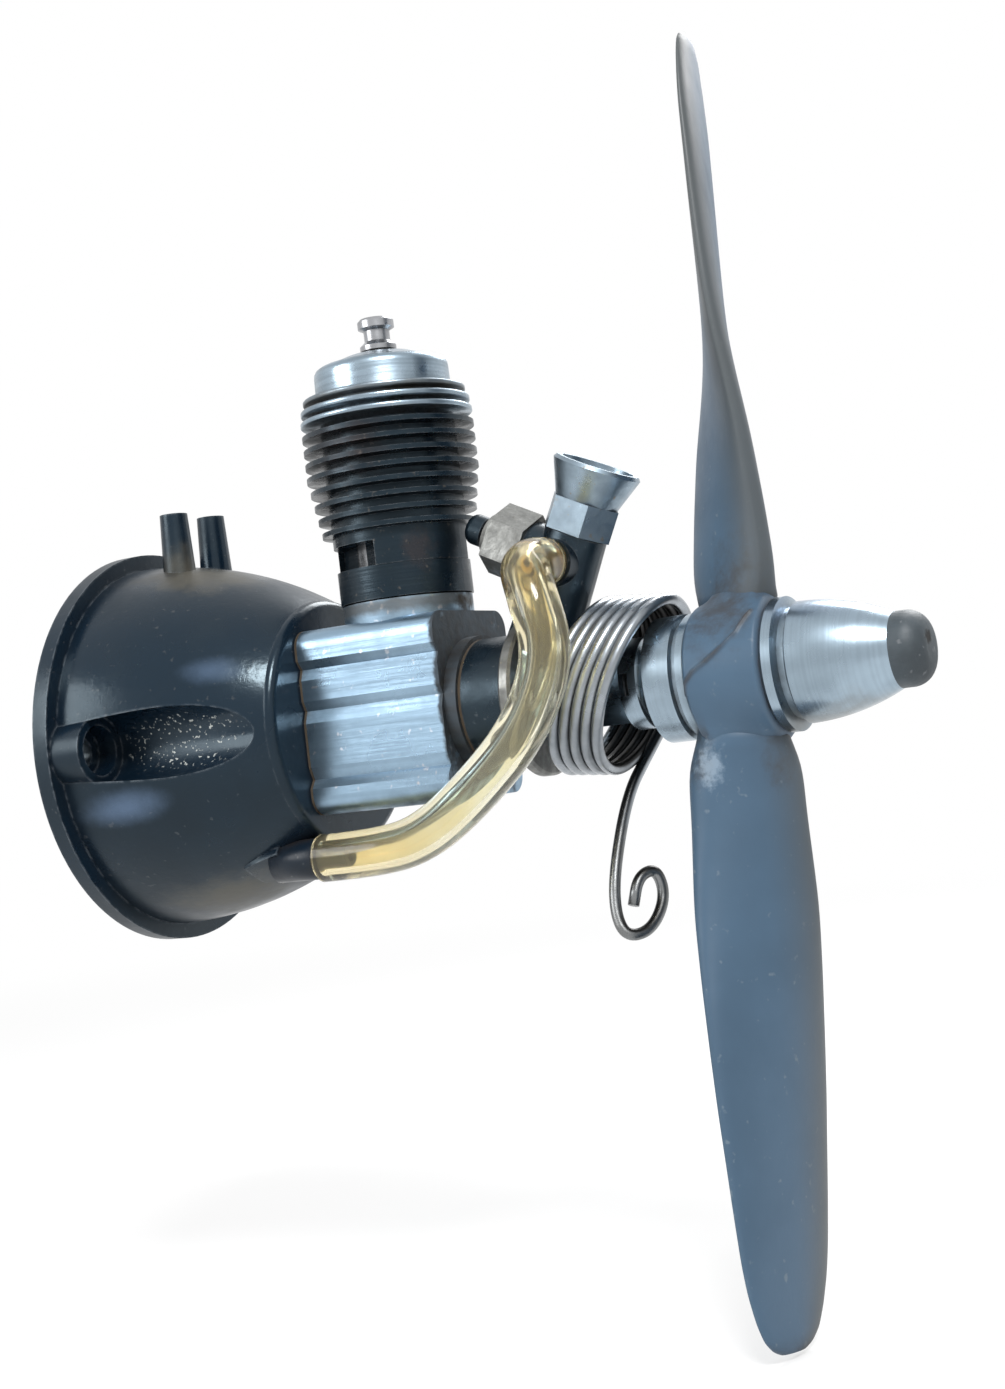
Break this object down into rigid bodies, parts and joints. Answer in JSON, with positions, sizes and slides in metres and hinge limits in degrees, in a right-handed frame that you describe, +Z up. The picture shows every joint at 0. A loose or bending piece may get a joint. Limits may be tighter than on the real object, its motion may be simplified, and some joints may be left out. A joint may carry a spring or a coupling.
{
  "type": "model aircraft glow engine",
  "caption": "Small glow engine with rear tank, finned cylinder, coil starter spring, two-blade propeller and spinner.",
  "frame": {"origin": "crank axis at the tank's firewall face", "axes": "+X forward along the crankshaft to the propeller, +Z up along the cylinder, +Y to port"},
  "size_m": [0.0974, 0.047, 0.1394],
  "materials": {
    "moulded_plastic": "black moulded nylon",
    "prop_plastic": "blue-grey moulded nylon",
    "case_alloy": "extruded aluminium alloy",
    "turned_alloy": "turned aluminium alloy",
    "black_steel": "black oxide steel",
    "bright_steel": "hardened steel",
    "spring_steel": "spring steel wire",
    "brass": "plated brass",
    "amber_tube": "amber silicone tube",
    "rubber": "dark grey rubber",
    "paper": "gasket paper",
    "copper": "annealed copper",
    "platinum": "platinum wire",
    "ceramic": "glass-filled insulator"
  },
  "bodies": {
    "engine": {"tank_housing": "moulded_plastic", "tank_back_plate": "moulded_plastic", "tank_gasket": "paper", "tank_screws": "bright_steel", "fuel_pickup": "brass", "crankcase": "case_alloy", "case_gasket": "paper", "cylinder": "black_steel", "head_gasket": "copper", "glow_head": "turned_alloy", "glow_insulator": "ceramic", "glow_post": "brass", "glow_filament": "platinum", "carburettor_body": "moulded_plastic", "carburettor_gasket": "paper", "spring_plate": "turned_alloy", "venturi": "turned_alloy", "needle_valve_body": "turned_alloy", "fuel_nipple": "brass", "fuel_tube": "amber_tube", "starter_spring": "spring_steel"},
    "rotor": {"crankshaft": "bright_steel", "drive_washer": "turned_alloy", "propeller": "prop_plastic", "propeller_screw": "bright_steel", "spinner": "turned_alloy", "spinner_tip": "rubber"},
    "piston_group": {"piston": "bright_steel", "ball_retainer": "bright_steel"},
    "rod_group": {"connecting_rod": "bright_steel"},
    "needle_group": {"needle": "bright_steel", "needle_knob": "black_steel", "needle_click_spring": "spring_steel"}
  },
  "joints": [
    {"name": "crankshaft_turn", "type": "hinge", "parent": "engine", "child": "rotor", "pos_m": [0, 0, 0], "axis": [1, 0, 0], "continuous": true},
    {"name": "piston_slide", "type": "slide", "parent": "engine", "child": "piston_group", "axis": [0, 0, 1], "range_m": [-0.0098, 0]},
    {"name": "connecting_rod_swing", "type": "hinge", "parent": "piston_group", "child": "rod_group", "pos_m": [0.0372, 0, 0.0235], "axis": [1, 0, 0], "range_deg": [-15.27, 15.27]},
    {"name": "needle_turn", "type": "hinge", "parent": "engine", "child": "needle_group", "pos_m": [0.04838, 0, 0.01902], "axis": [-0.891, 0, 0.454], "range_deg": [-1080, 720]}
  ]
}
